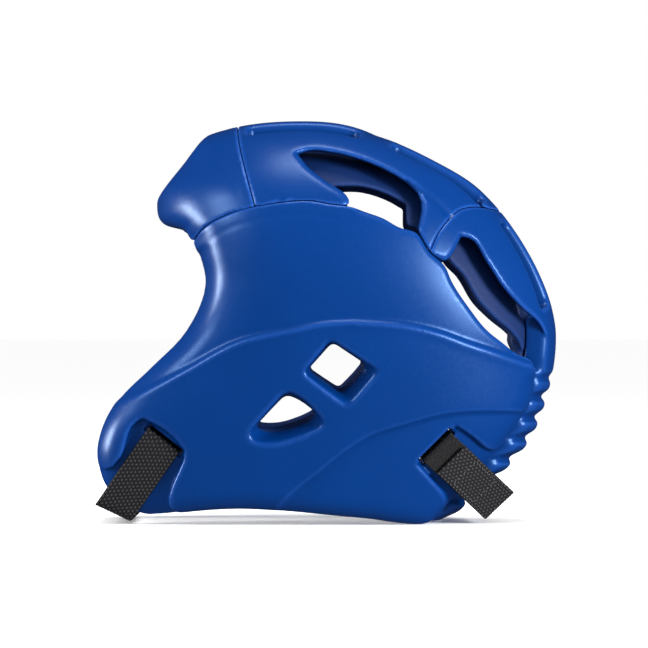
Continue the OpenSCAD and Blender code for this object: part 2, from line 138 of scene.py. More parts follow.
VENT_A = [[-18.2, 231.8], [-11.9, 233.7], [4.7, 232.4], [21.3, 228], [38.2, 220.8], [53.8, 210.2],
          [56.8, 206.8], [55.3, 178], [44, 181], [34, 187], [23, 191], [15, 195], [13.7, 203],
          [-0.8, 214.7], [-11.9, 223.7]]
VENT_A_IN = [[3.7, 211.2], [21.3, 211.2], [39.4, 205.6], [49.4, 200], [49.4, 180], [15, 194]]
VENT_B_LOW = [[118, 102], [108, 109], [96, 118], [85, 132], [73, 151], [70, 162]]
VENT_B = ([[84, 180], [89, 179], [99.8, 164.3], [111, 147.6], [122.4, 135.4], [133.7, 125.4],
           [138.8, 114], [141, 96], [127, 98.5]] + VENT_B_LOW + [[75.4, 165.6]])
VENT_B_IN = [[74, 168], [75.1, 165.5], [83.9, 156.7], [95.1, 138.5], [105.1, 128.5], [117.7, 117.3],
             [121, 112], [119.9, 106]] + VENT_B_LOW
EAR_OUT = [[2.4, 115], [30.8, 96.3], [13.6, 74], [-13.7, 95.6]]
EAR_IN = [[4, 111], [20.4, 100.8], [7.4, 86.3], [-8.7, 97.5]]
JAW_OUT = [[-49, 57], [-46.5, 51.6], [-38.5, 49], [-15, 55.3], [-2.5, 63.4], [-5, 69.3], [-20.5, 82.6],
           [-25.5, 83.2]]
JAW_IN = [[-41.6, 62.8], [-25.5, 78.3], [-20, 77], [-11.2, 70.8], [-20, 66.5], [-30.4, 62.8]]
CHIN_CHANNEL = [[-129, 42.5], [-119.3, 64], [-115, 66], [-111.5, 64.7], [-93, 51.5], [-89.5, 46],
                [-89.5, 42], [-92.3, 34.6], [-97, 24], [-102, -10], [-160, -10], [-160, 10]]
REAR_CHANNEL = [[57, 38], [81, 61.2], [86.2, 58], [106, 40.5], [130, 15], [110, -12], [80.5, 12.8]]
FOREHEAD_AREA = [[-160, 270]] + CROWN_SEAM + BROW_SEAM[1:] + BROW_EDGE[1:]
CROWN_AREA = CROWN_SEAM + TEMPLE_SEAM[1:] + WING_TOP[1:] + NAPE_SEAM[1:] + [[170, 270]]
NAPE_AREA = NAPE_SEAM + [[170, 96], [141, 96]] + WING_BACK_TOP[:0:-1]
WING_AREA = (BROW_SEAM[::-1] + TEMPLE_SEAM[1:] + WING_TOP[1:] + WING_BACK_TOP[1:] + REAR_EDGE[-2::-1]
             + LOW_EDGE[-2::-1] + FACE_EDGE[-2:0:-1])
CHEEK_AREA = CHEEK_TOP + [[160, 90], [160, -20], [-170, -20], [-170, 78.6]]
CHEEK_LOW_AREA = CHEEK_CUT + [[160, 60], [160, -20], [-30, -20]]
BAND_CREASE = [[50, 214], [58, 208.5], [68, 201.5], [77, 192.5], [84, 183]]
VENTS = ((EAR_OUT, EAR_IN, (5, 95)), (JAW_OUT, JAW_IN, (-25, 66)))

# The two layers of foam: their depths under the face, and how far they stay inside their outlines.
Layer = namedtuple("Layer", "top under inset gap finish slot fill")
OUTER = Layer(0, SKIN_T, 0, SEAM_GAP, "shell", "shell_foam", 0.95)
LINING = Layer(SKIN_T, FOAM_T, PAD_INSET, PAD_INSET, "pad", "pad_foam", 0.85)

# The slots: across, front-back, height, lean in degrees and length.
CROWN_SLOTS = ((SLOT_X, -15, 252, 0, 70), (SLOT_X, 71, 222, -31.5, 66))
NAPE_SLOT = (SLOT_X - 7, 127, 164, -61, 59)
SLOT_DEPTH = 42.0
VENT_IN = 50.0

# The slanted brow facet, a flat through one point, and the face rim's bevel, as shares of skin and reach.
FACET_AT, FACET_OUT, FACET_CUT = (-93.0, 228.0), (-0.796, 0.605), 1.2
BEVEL_FLAT, BEVEL_STEEP = 0.923, 0.385

# A crease beside the crown's band, and the lip along the top of the raised cheek.
CREASE_DEPTH, CREASE_WIDE = 1.1, 2.2
LIP_AT, LIP_WIDE, LIP_RISE = 4.0, 3.0, 0.35

CHIN = {"slot": (-102, 52.8), "turn": (-134.5, 6.6), "lean": (-38.3, -25), "root_side": 1}
REAR = {"slot": (68.5, 48.7), "turn": (108.5, 11.2), "lean": (45, 43), "root_side": -1}
LIFT_ROOT = LAY_GAP + STRAP_T / 2
LIFT_HOOK = LAY_GAP + STRAP_T + LAY_GAP + HOOK_T / 2
LIFT_TAB = LIFT_HOOK + HOOK_T / 2 + STRAP_T / 2 + 0.1
WEAVE_RISE, PILE_RISE, HOOK_RISE = 0.34, 0.5, 0.3
WEAVE_STEP = 0.42
SELVEDGE = 0.94
DASH_SLANT = 0.35
STITCH_PITCH, STITCH_R, STITCH_BOW = 2.6, 0.3, 0.16
STITCH_SIDES, STITCH_RINGS = 6, 5
STITCH_INSET, STITCH_FROM, STITCH_END = 2.6, 14, 4
STRAP_CLEARANCE = 1.5
BEND_FROM, BEND_SHORT = 0.25, math.radians(3)
HOOK_FROM, HOOK_END, HOOK_NARROW = 0.35, 2, 0.1
FOLD_HIGH, FOLD_DEEP, FOLD_T, FOLD_RISE = 3.55, 1.05, 1.8, 0.2


def eased(a, b, slope_a, slope_b, t):
    """A smooth way from a to b, leaving and arriving with the given slopes."""
    return ((1 + 2 * t) * (1 - t) ** 2 * a + t * (1 - t) ** 2 * slope_a
            + t * t * (3 - 2 * t) * b + t * t * (t - 1) * slope_b)


def read_line(x, points):
    """A smooth curve through a line's points, read at every x."""
    px, py = np.array(points, float).T
    ahead = np.minimum(np.arange(len(px)) + 1, len(px) - 1)
    behind = np.maximum(np.arange(len(px)) - 1, 0)
    slope = (py[ahead] - py[behind]) / (px[ahead] - px[behind])
    i = np.clip(np.searchsorted(px, x, side="right") - 1, 0, len(px) - 2)
    h = px[i + 1] - px[i]
    t = np.clip((x - px[i]) / h, 0, 1)
    return eased(py[i], py[i + 1], h * slope[i], h * slope[i + 1], t)


def closing(z):
    """How far the crown has closed in at height z: 1 up to the widest place, 0 at the very top."""
    rise = np.clip((z - WIDE_Z) / (HEIGHT - WIDE_Z), 0, 1)
    return np.maximum(1 - rise ** DOME, 1e-5) ** (1 / DOME)


def reach(z, line):
    """Distance of a front or back line from the shell's middle at height z, its closing taken out."""
    held = np.minimum(z, CAP_Z)
    return np.abs(read_line(held, line) + SHIFT - MID_Y) / closing(held)


def section(z, t, wide):
    """Front reach, back reach and half width of the level section at z, a depth t inside the face."""
    z = np.asarray(z, float)
    outer_z = np.where(z > WIDE_Z, WIDE_Z + (z - WIDE_Z) * (HEIGHT - WIDE_Z) / (HEIGHT - t - WIDE_Z), z)
    sides = []
    for line in (FRONT_LINE, WING_BACK_LINE if wide else BACK_LINE):
        full = reach(outer_z, line)
        at_wide = reach(np.float64(WIDE_Z), line)
        sides.append(np.where(z > WIDE_Z, full * (at_wide - t) / at_wide, full - t))
    low = HALF - (HALF - HALF_LOW) * (np.clip(WIDE_Z - np.maximum(z, 0), 0, WIDE_Z) / WIDE_Z) ** 1.6
    return sides[0], sides[1], low - t


def face_x(y, z, t=0.0):
    """Half width of the face at a place in the side view, a depth t inside it."""
    front, back, half = section(z, t, True)
    across = abs(y - MID_Y) / (front if y < MID_Y else back)
    return float(half * max(0.0, 1 - across ** SQUARENESS) ** (1 / SQUARENESS))


def curve(points, closed=True):
    """A smooth line through points that keeps its sharp corners, in the finished guard's own place."""
    p = np.array(points, float) + (SHIFT, 0)
    n = len(p)
    last = n if closed else n - 1

    def at(i):
        return p[i % n] if closed else p[min(max(i, 0), n - 1)]

    def heading(i, side):
        before, after = at(i) - at(i - 1), at(i + 1) - at(i)
        lb, la = np.hypot(*before), np.hypot(*after)
        own, length = (after, la) if side > 0 else (before, lb)
        if lb < 1e-6 or la < 1e-6:
            return own / length
        if math.degrees(math.acos(np.clip(before @ after / (lb * la), -1, 1))) > SHARP_TURN:
            return own / length
        mean = before / lb * la + after / la * lb
        return mean / np.hypot(*mean)

    out = []
    for i in range(last):
        a, b = at(i), at(i + 1)
        length = np.hypot(*(b - a))
        ha, hb = heading(i, 1) * length, heading(i + 1, -1) * length
        out.extend(eased(a, b, ha, hb, t) for t in np.arange(CURVE_STEPS) / CURVE_STEPS)
    if not closed:
        out.append(p[-1])
    return np.array(out)


def step(a, b, v):
    t = np.clip((v - a) / (b - a), 0, 1)
    return t * t * (3 - 2 * t)


def both(a, b, k):
    """Inside both of two fields, with a round edge about k / 2 wide where they meet."""
    h = np.maximum(k - np.abs(a - b), 0) / k
    return np.maximum(a, b) + h * h * k * 0.25


def without(a, b, k):
    """Inside the first field and outside the second, with a round edge."""
    return both(a, -b, k)


def either(a, b, k):
    return -both(-a, -b, k)


class Block:
    """A box of sample points on the guard's left half, and the fields of its shapes on them."""

    def __init__(self, x, y, z):
        self.h = h = bpy.context.scene.guard_sizes.mesh_size / MM
        self.x, self.y, self.z = (np.arange(a, b + h, h).astype(np.float32) for a, b in (x, y, z))
        self.low = np.array([self.x[0], self.y[0], self.z[0]])

    def form(self, t, wide=False):
        """Distance outside the head form, a depth t inside the shell's face."""
        z = self.z.astype(float)
        front, back, half = section(z, t, wide)
        y = self.y[:, None] - MID_Y
        along = np.abs(y) / np.maximum(np.where(y < 0, front, back), 1e-3)
        rise = np.clip((z - WIDE_Z) / (HEIGHT - t - WIDE_Z), 0, 2)
        flat = (along ** SQUARENESS).astype(np.float32)
        side = (np.abs(self.x[:, None]) / half) ** SQUARENESS
        r = (side.astype(np.float32)[:, None, :] + flat[None]) ** np.float32(DOME / SQUARENESS)
        r = (r + (rise ** DOME).astype(np.float32)) ** np.float32(1 / DOME) - 1
        gx, gy, gz = np.gradient(r, self.h)
        return r / np.maximum(np.sqrt(gx * gx + gy * gy + gz * gz), 1e-4)

    def line(self, points, closed=False):
        """Distance to a side-view line."""
        pts = curve(points, closed)
        if closed:
            pts = np.vstack([pts, pts[:1]])
        y, z = self.y[:, None], self.z[None, :]
        best = np.full((len(self.y), len(self.z)), 1e9)
        for a, b in zip(pts[:-1], pts[1:]):
            d = b - a
            t = np.clip(((y - a[0]) * d[0] + (z - a[1]) * d[1]) / max(d @ d, 1e-9), 0, 1)
            best = np.minimum(best, (y - a[0] - t * d[0]) ** 2 + (z - a[1] - t * d[1]) ** 2)
        return np.sqrt(best).astype(np.float32)

    def area(self, points):
        """Distance to a side-view outline, negative inside it."""
        pts = curve(points)
        y, z = self.y[:, None], self.z[None, :]
        inside = np.zeros((len(self.y), len(self.z)), bool)
        for a, b in zip(pts, np.roll(pts, -1, 0)):
            if a[1] != b[1]:
                crossing = (b[0] - a[0]) * (z - a[1]) / (b[1] - a[1]) + a[0]
                inside ^= ((a[1] > z) != (b[1] > z)) & (y < crossing)
        d = self.line(points, True)
        return np.where(inside, -d, d)

    def rounded(self, points, k):
        """Distance to a side-view outline with no hollow corners, each corner rounded."""
        p = np.array(points, float) + (SHIFT, 0)
        turn = np.cross(p[1] - p[0], p[2] - p[1])
        best = None
        for a, b in zip(p, np.roll(p, -1, 0)):
            out = unit((b - a)[::-1] * (1, -1)) * (1 if turn > 0 else -1)
            d = (self.y[:, None] - a[0]) * out[0] + (self.z[None, :] - a[1]) * out[1]
            best = d if best is None else both(best, d, k)
        return best.astype(np.float32)

    def leaned(self, y, z, lean):
        """Distances along and across a line through (y, z), leaned by so many degrees."""
        c, s = math.cos(math.radians(lean)), math.sin(math.radians(lean))
        dy, dz = self.y[:, None] - y - SHIFT, self.z[None, :] - z
        return dy * c + dz * s, -dy * s + dz * c

    def slot(self, place, shrink):
        """Distance to a rounded slot through the foam, leaning with the shell."""
        x, y, z, lean, length = place
        along, across = self.leaned(y, z, lean)
        dx = np.abs(np.abs(self.x) - x)[:, None, None] - (SLOT_W / 2 - shrink - SLOT_CORNER)
        dy = (np.abs(along) - (length / 2 - shrink - SLOT_CORNER))[None]
        outside = np.sqrt(np.maximum(dx, 0) ** 2 + np.maximum(dy, 0) ** 2)
        hole = outside + np.minimum(np.maximum(dx, dy), 0) - SLOT_CORNER
        return np.maximum(hole, -SLOT_DEPTH - across[None])


SNAPS = 3
LEAST_SLOPE = 0.3
MOST_PULL = 0.4
OUTSIDE = 9.0


def surface(field, low, h):
    """Vertices and quads of a field's zero surface, one vertex in each cell that it crosses."""
    f = np.pad(field, 1, constant_values=OUTSIDE).astype(np.float32)
    low = np.array(low) - h
    inside = f < 0
    n = np.array(f.shape) - 1
    corners = [(i, j, k) for i in (0, 1) for j in (0, 1) for k in (0, 1)]
    count = np.zeros(n, np.int8)
    for i, j, k in corners:
        count += inside[i:i + n[0], j:j + n[1], k:k + n[2]]
    cells = np.argwhere((count > 0) & (count < 8))
    total = np.zeros((len(cells), 3))
    hits = np.zeros(len(cells))
    for corner in corners:
        for axis in range(3):
            if corner[axis]:
                continue
            start = np.array(corner)
            go = np.eye(3, dtype=int)[axis]
            va = f[tuple((cells + start).T)]
            vb = f[tuple((cells + start + go).T)]
            cross = (va < 0) != (vb < 0)
            t = np.where(cross, va / np.where(cross, va - vb, 1), 0)
            total += (start + t[:, None] * go) * cross[:, None]
            hits += cross
    verts = cells + total / hits[:, None]
    ids = np.full(n, -1, np.int64)
    ids[tuple(cells.T)] = np.arange(len(cells))
    quads = []
    for axis in range(3):
        u, v = [a for a in range(3) if a != axis]
        first, second = [slice(1, -1)] * 3, [slice(1, -1)] * 3
        first[axis], second[axis] = slice(0, -1), slice(1, None)
        a, b = inside[tuple(first)], inside[tuple(second)]
        base = np.argwhere(a != b)
        outward = a[tuple(base.T)]
        base[:, u] += 1
        base[:, v] += 1
        loop = []
        for du, dv in ((0, 0), (-1, 0), (-1, -1), (0, -1)):
            c = base.copy()
            c[:, u] += du
            c[:, v] += dv
            loop.append(ids[tuple(c.T)])
        loop = np.stack(loop, 1)
        turned = outward if axis == 1 else ~outward
        loop[turned] = loop[turned][:, ::-1]
        quads.append(loop)
    for _ in range(SNAPS):
        value, grad = sample(f, verts)
        pull = value[:, None] * grad / np.maximum((grad ** 2).sum(1), LEAST_SLOPE * h * h)[:, None]
        verts = verts - np.clip(pull, -MOST_PULL, MOST_PULL)
    return low + verts * h, np.vstack(quads)


def sample(f, p):
    """Value and gradient per cell of a field between its samples."""
    i = np.clip(p.astype(int), 0, np.array(f.shape) - 2)
    x, y, z = (p - i).T
    c = np.array([[[f[i[:, 0] + a, i[:, 1] + b, i[:, 2] + g] for g in (0, 1)] for b in (0, 1)]
                  for a in (0, 1)])

    def mixed(pair, t):
        return pair[0] * (1 - t) + pair[1] * t

    cx = mixed(c, x)
    cxy = mixed(cx, y)
    gx = mixed(mixed(c[1] - c[0], y), z)
    gy = mixed(cx[1] - cx[0], z)
    return mixed(cxy, z), np.stack([gx, gy, cxy[1] - cxy[0]], 1)


# ---- Materials

def feed(tree, socket, value):
    """Sets a socket to a number or a colour, or links it to another node's output."""
    if isinstance(value, bpy.types.NodeSocket):
        tree.links.new(value, socket)
    elif isinstance(value, tuple):
        socket.default_value = (*value, 1) if len(value) == 3 else value
    else:
        socket.default_value = value


def node(tree, kind, output, inputs=None, **settings):
    """One output of a new shader node, with its settings and inputs."""
    made = tree.nodes.new("ShaderNode" + kind)
    for name, value in settings.items():
        setattr(made, name, value)
    for socket, value in (inputs or {}).items():
        feed(tree, made.inputs[socket], value)
    return made.outputs[output]


def noise(tree, vector, scale, detail=3.0, rough=0.55):
    return node(tree, "TexNoise", "Fac",
                {"Vector": vector, "Scale": scale, "Detail": detail, "Roughness": rough})


def times(tree, a, b, clamp=False):
    return node(tree, "Math", 0, {0: a, 1: b}, operation="MULTIPLY", use_clamp=clamp)


def plus(tree, a, b, clamp=False):
    return node(tree, "Math", 0, {0: a, 1: b}, operation="ADD", use_clamp=clamp)


def span(tree, value, low, high, to_low, to_high):
    """A value's stretch from low to high, carried to another one and held at its ends."""
    return node(tree, "MapRange", "Result", {"Value": value, "From Min": low, "From Max": high,
                                             "To Min": to_low, "To Max": to_high})


def mix_colour(tree, factor, a, b):
    return node(tree, "Mix", 2, {"Factor": factor, 6: a, 7: b}, data_type="RGBA")


def effect(name, inputs, build):
    """A shader node group, built once, that puts out colour, roughness and height over a surface."""
    tree = bpy.data.node_groups.get(name)
    if tree:
        return tree
    tree = bpy.data.node_groups.new(name, "ShaderNodeTree")
    for label, default in inputs.items():
        kind = "NodeSocketColor" if isinstance(default, tuple) else "NodeSocketFloat"
        tree.interface.new_socket(label, in_out="INPUT", socket_type=kind).default_value = default
    for label, kind in (("Colour", "NodeSocketColor"), ("Roughness", "NodeSocketFloat"),
                        ("Height", "NodeSocketFloat")):
        tree.interface.new_socket(label, in_out="OUTPUT", socket_type=kind)
    given = tree.nodes.new("NodeGroupInput").outputs
    result = tree.nodes.new("NodeGroupOutput").inputs
    for label, value in build(tree, given).items():
        feed(tree, result[label], value)
    return tree


def foam_skin(tree, given):
    """Skin of moulded foam: a fine grain, slow swirls of the moulding, a painted highlight on its ridges and
    painted shade in its hollows.
    """
    place = node(tree, "TexCoord", "Object")
    point = node(tree, "NewGeometry", "Pointiness")
    # Painted highlight: convex ridges are lifted towards a light blue, and the same mask makes them a little
    # glossier.
    ridge = span(tree, point, 0.505, 0.56, 0, 1)
    # Painted shade: concave hollows are pulled towards a near-black blue.
    hollow = span(tree, point, 0.495, 0.44, 0, 1)
    ridge_lit = times(tree, ridge, given["Ridge highlight"], True)
    light = mix_colour(tree, ridge_lit, given["Colour"], (0.03, 0.12, 0.5))
    dark = mix_colour(tree, times(tree, hollow, 0.45), light, (0.0, 0.008, 0.06))
    swirl = span(tree, noise(tree, place, 22, 3), 0.3, 0.7, -0.5, 0.5)
    tone = plus(tree, times(tree, swirl, given["Mottle"]), 1.0)
    specks = span(tree, noise(tree, place, 420, 4, 0.7), 0.3, 0.75, -0.04, 0.07)
    rough = plus(tree, given["Base roughness"], specks)
    fine, grain = noise(tree, place, 900, 2), noise(tree, place, 2600, 2)
    return {"Colour": node(tree, "HueSaturation", "Color", {"Color": dark, "Value": tone}),
            "Roughness": plus(tree, rough, times(tree, ridge_lit, -0.12), True),
            "Height": plus(tree, times(tree, fine, 0.5), times(tree, grain, 0.5))}


def yarn(tree, given):
    """Yarn of a webbing or tape: fibres along it, a painted sheen as lighter dashes on the raised crowns,
    dust in the weave.
    """
    weave = node(tree, "Attribute", "Vector", attribute_name="weave")
    raised = node(tree, "SeparateXYZ", "Z", {0: weave})
    place = node(tree, "TexCoord", "Object")
    fibre = noise(tree, place, times(tree, given["Fibre scale"], 1800), 3, 0.7)
    # Painted sheen: the raised crowns of the weave are lifted towards the crown colour, broken up by the
    # fibres.
    crown = times(tree, span(tree, raised, 0.62, 1.0, 0, 1), span(tree, fibre, 0.3, 0.7, 0.45, 1.0), True)
    colour = mix_colour(tree, crown, given["Colour"], given["Crown sheen colour"])
    lint = span(tree, noise(tree, place, 260, 4, 0.75), 0.62, 0.8, 0, 0.2)
    return {"Colour": mix_colour(tree, lint, colour, (0.2, 0.2, 0.21)),
            "Roughness": span(tree, fibre, 0.2, 0.8, 0.72, 0.95), "Height": fibre}


def material(name, look, values, bump, fixed):
    """A material whose colour, roughness and relief come from one effect; fixed values sit on the shader."""
    known = bpy.data.materials.get(name)
    if known:
        return known
    made = bpy.data.materials.new(name)
    made.use_nodes = True
    tree = made.node_tree
    shader = tree.nodes["Principled BSDF"].inputs
    skin = tree.nodes.new("ShaderNodeGroup")
    skin.node_tree = look
    for label, value in values.items():
        feed(tree, skin.inputs[label], value)
    strength, distance = bump
    normal = node(tree, "Bump", "Normal",
                  {"Strength": strength, "Distance": distance, "Height": skin.outputs["Height"]})
    feeds = {"Base Color": skin.outputs["Colour"], "Roughness": skin.outputs["Roughness"],
             "Normal": normal}
    for label, value in {**feeds, **fixed}.items():
        feed(tree, shader[label], value)
    return made


def finishes(scene):
    """Every finish of the guard, from the user's colours."""
    want = scene.guard_finish
    foam = effect("Moulded foam skin", {"Colour": (0.02, 0.2, 0.6, 1), "Mottle": 0.06, "Ridge highlight": 0.3,
                                        "Base roughness": 0.4}, foam_skin)
    cloth = effect("Yarn", {"Colour": (0.01, 0.01, 0.012, 1), "Crown sheen colour": (0.09, 0.09, 0.1, 1),
                            "Fibre scale": 1.0}, yarn)

    # Each foam finish takes the strength of the painted highlight on its ridges.
    def foam_finish(name, colour, mottle, ridge_light, rough, bump, fixed):
        return material(name, foam, {"Colour": tuple(colour), "Mottle": mottle, "Ridge highlight": ridge_light,
                                     "Base roughness": rough}, bump, fixed)

    # The crown colour is the painted sheen on the raised yarn.
    def yarn_finish(name, colour, crown, fibre, bump, fixed):
        return material(name, cloth, {"Colour": colour, "Crown sheen colour": tuple(crown), "Fibre scale": fibre},
                        bump, fixed)

    return {
        "shell": foam_finish("Outer foam", want.shell_colour, 0.08, want.ridge_highlight, want.shell_roughness,
                             (0.1, 0.0004), {"Specular IOR Level": 0.38, "Specular Tint": (0.3, 0.55, 1.0)}),
        "pad": foam_finish("Pad foam", want.pad_colour, 0.16, 0.15, 0.62, (0.35, 0.0008),
                           {"Specular IOR Level": 0.2}),
        # The second colour of each yarn finish is the painted sheen on its raised yarn and stitch tops.
        "webbing": yarn_finish("Webbing", (0.006, 0.006, 0.008), want.webbing_sheen_colour, 1.0, (0.5, 0.0003),
                               {"Specular IOR Level": 0.22}),
        "pile": yarn_finish("Loop pile", (0.003, 0.003, 0.004), (0.035, 0.035, 0.04), 0.55, (1.0, 0.0012),
                            {"Sheen Weight": 0.08, "Sheen Roughness": 0.6, "Specular IOR Level": 0.1}),
        "hook": yarn_finish("Hook tape", (0.004, 0.004, 0.005), (0.05, 0.05, 0.055), 1.6, (0.8, 0.0005),
                            {"Specular IOR Level": 0.5}),
        "thread": yarn_finish("Sewing thread", (0.012, 0.012, 0.014), (0.12, 0.12, 0.13), 2.0,
                              (0.4, 0.0002), {"Specular IOR Level": 0.4}),
    }


# ---- Making pieces

def new_piece(name, verts, faces, finish, body, nodes=(), weave=None):
    """A smooth mesh from vertices in millimetres, riding on its body."""
    mesh = bpy.data.meshes.new(name)
    mesh.from_pydata((np.asarray(verts) * MM).tolist(), [], [list(f) for f in faces])
    mesh.materials.append(finish)
    mesh.polygons.foreach_set("use_smooth", [True] * len(mesh.polygons))
    if weave is not None:
        layer = mesh.attributes.new("weave", "FLOAT_VECTOR", "POINT")
        layer.data.foreach_set("vector", np.asarray(weave, np.float32).ravel())
    mesh.update()
    piece = bpy.data.objects.new(name, mesh)
    bpy.context.scene.collection.objects.link(piece)
    if body:
        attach(piece, body)
    if nodes:
        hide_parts(*nodes)
    return piece


def foam_piece(name, node_name, layer, shape, side="both"):
    """A foam piece from its field on the left half: both halves, or only the left or the right one."""
    block, field = shape
    low = block.low.astype(float)
    if side == "both":
        field = np.concatenate([field[:0:-1], field], 0)
        low[0] = -float(block.x[-1])
    verts, faces = surface(field, low, block.h)
    if side == "right":
        verts = verts * (-1, 1, 1)
        faces = faces[:, ::-1]
    finish = finishes(bpy.context.scene)[layer.finish]
    new_piece(name, verts, faces, finish, "shell", (node_name,))


def panel_and_pad(part, field_of):
    """A panel of the outer foam and the pad behind it."""
    foam_piece(part + "_outer", part + "_panel", OUTER, field_of(OUTER))
    foam_piece(part + "_lining", part + "_pad", LINING, field_of(LINING))
    return {"FINISHED"}


def edge_width(block, seams, wide, narrow=0.9):
    """How wide the round is along an outline: narrow beside the seams, wide along the free edges."""
    near = np.minimum.reduce([block.line(seam) for seam in seams])
    return (narrow + (wide - narrow) * step(1.5, 10, near))[None]


def rim_bevel(block, skin, fade):
    """The wide bevel that runs round the face opening, as a limit on the skin."""
    width = bpy.context.scene.guard_sizes.rim_bevel / MM
    rim = np.minimum(block.line(FACE_EDGE), block.line(BROW_EDGE))
    return BEVEL_FLAT * skin + BEVEL_STEEP * (width * fade - rim)[None]


def crown_holes(block, field, layer, edge):
    for place in CROWN_SLOTS:
        field = without(field, block.slot(place, layer.inset), edge)
    return field


def forehead_field(layer):
    """The brow, with its slanted facet and the bevel of the face rim on the outer layer."""
    block = Block((0, 96), (-112, -38), (172, 257))
    skin = block.form(layer.top)
    free, slot_edge = (11, 4) if layer is OUTER else (6, 3)
    if layer is OUTER:
        fade = step(-118, -88, block.y)[:, None]
        skin = both(skin, rim_bevel(block, skin, fade), 2.5)
        y, z = block.y[:, None] - FACET_AT[0], block.z[None, :] - FACET_AT[1]
        facet = y * FACET_OUT[0] + z * FACET_OUT[1]
        skin = both(skin, facet[None] + FACET_CUT, 1.6)
    area = block.area(FOREHEAD_AREA) + layer.gap
    field = both(skin, area[None], edge_width(block, [CROWN_SEAM, BROW_SEAM], free))
    field = without(field, block.form(layer.under), free)
    return block, crown_holes(block, field, layer, slot_edge)


def crown_field(layer):
    """The top, with four slots and a large vent on each side."""
    block = Block((0, 108), (-62, 112), (160, 257))
    vent, vent_edge, slot_edge = (VENT_A, 5, 4.5) if layer is OUTER else (VENT_A_IN, 4, 3)
    area = block.area(CROWN_AREA) + layer.gap
    skin = block.form(layer.top)
    if layer is OUTER:
        skin = skin + CREASE_DEPTH * np.exp(-(block.line(BAND_CREASE) / CREASE_WIDE) ** 2)[None]
    field = both(skin, area[None], edge_width(block, [CROWN_SEAM, TEMPLE_SEAM, NAPE_SEAM], 3))
    field = without(field, block.form(layer.under), 3)
    beyond = VENT_IN - block.x[:, None, None]
    field = without(field, np.maximum(block.area(vent)[None], beyond), vent_edge)
    return block, crown_holes(block, field, layer, slot_edge)


def back_field(layer):
    """The nape with its two slots and side vents, and the tongue with its ribs on the outer layer."""
    block = Block((0, 100), (52, 150), (-2, 204))
    x, z = block.x[:, None, None], block.z
    area = block.area(NAPE_AREA) + layer.gap
    tongue = np.maximum(x - (TONGUE_HALF - layer.inset), z[None, None, :] - TONGUE_TOP)
    tongue = both(tongue, layer.inset - z[None, None, :] + 0.3, 8)
    skin = block.form(layer.top)
    if layer is OUTER:
        depth = bpy.context.scene.guard_sizes.rib_depth / MM
        wave = (0.5 + 0.5 * np.cos((z - RIB_START) / RIB_PITCH * 2 * math.pi)) ** 1.6 * step(98, 86, z)
        skin = skin + wave * depth * RIB_SHARE
    field = both(skin, either(area[None], tongue, 4), edge_width(block, [NAPE_SEAM], 5))
    field = without(field, block.form(layer.under), 3)
    vent = VENT_B if layer is OUTER else VENT_B_IN
    field = without(field, np.maximum(block.area(vent)[None], TONGUE_HALF - 1 - x), 4)
    return block, without(field, block.slot(NAPE_SLOT, layer.inset), 4)


def funnel(block, vent, grow):
    """A vent that narrows on its way in through the foam."""
    outer, inner, middle = vent
    share = np.clip((block.x - face_x(*middle) + FOAM_T) / FOAM_T, 0, 1)[:, None, None]
    wide, narrow = block.rounded(outer, 5)[None], block.rounded(inner, 3)[None]
    return wide * share + narrow * (1 - share) - grow - 0.5


def pierced(block, field, grow, edge):
    """A wing's layer with its ear and jaw vents and the ways of its two straps cut through."""
    for vent in VENTS:
        field = without(field, funnel(block, vent, grow), edge)
    for strap in (CHIN, REAR):
        along, across = block.leaned(*strap["slot"], strap["lean"][0])
        way = np.maximum(np.abs(along) - STRAP_W / 2 - STRAP_CLEARANCE,
                         np.abs(across) - STRAP_T / 2 - STRAP_CLEARANCE)
        field = without(field, way[None], 1.5)
    return block, field


def wing_block():
    return Block((WING_IN - 3, 110), (-150, 136), (-3, 206))


def wing_field():
    """The outer layer of a wing: its raised cheek, the bevel of its face rim, vents and strap channels."""
    sizes = bpy.context.scene.guard_sizes
    block = wing_block()
    base = block.form(0, True)
    cheek, low_cheek = -block.area(CHEEK_AREA), -block.area(CHEEK_LOW_AREA)
    raised = step(-1.0, 3.2, cheek) * (1 - step(-2.0, 2.0, low_cheek))
    lip = np.exp(-((block.line(CHEEK_TOP) - LIP_AT) / LIP_WIDE) ** 2) * step(0, 2, cheek) * LIP_RISE
    skin = base - (raised * sizes.cheek_rise / MM + lip)[None]
    skin = both(skin, rim_bevel(block, skin, 1.0), 2.2)
    for channel in (CHIN_CHANNEL, REAR_CHANNEL):
        trough = both(block.area(channel)[None], -base - CHANNEL_DEPTH, 2)
        skin = without(skin, trough, 3.2)
    area = block.area(WING_AREA) + SEAM_GAP
    width = edge_width(block, [BROW_SEAM, TEMPLE_SEAM, WING_BACK_TOP[6:]], sizes.edge_round / MM)
    vent_side = np.minimum(block.line(WING_TOP), block.line(WING_BACK_TOP))[None]
    width = np.minimum(width, 3.5 + 9 * step(4, 16, vent_side))
    field = both(skin, area[None], width)
    field = without(field, block.form(SKIN_T, True), 3)
    field = both(field, WING_IN - block.x[:, None, None], 4)
    return pierced(block, field, 0, 3.2)


def wing_pad_field():
    block = wing_block()
    area = block.area(WING_AREA) + PAD_INSET
    field = both(block.form(SKIN_T, True), area[None], 4)
    field = without(field, block.form(FOAM_T, True), 8)
    field = both(field, WING_IN + PAD_INSET - block.x[:, None, None], 6)
    return pierced(block, field, 0.5, 4)


# ---- Straps: a flat band runs through stations of [middle, half width vector, outward direction]

def unit(v):
    return np.asarray(v, float) / np.linalg.norm(v)


def side_point(strap, f):
    a, b = strap["slot"], strap["turn"]
    return a[0] + (b[0] - a[0]) * f + SHIFT, a[1] + (b[1] - a[1]) * f


def run_length(strap):
    return math.dist(side_point(strap, 0), side_point(strap, 1))


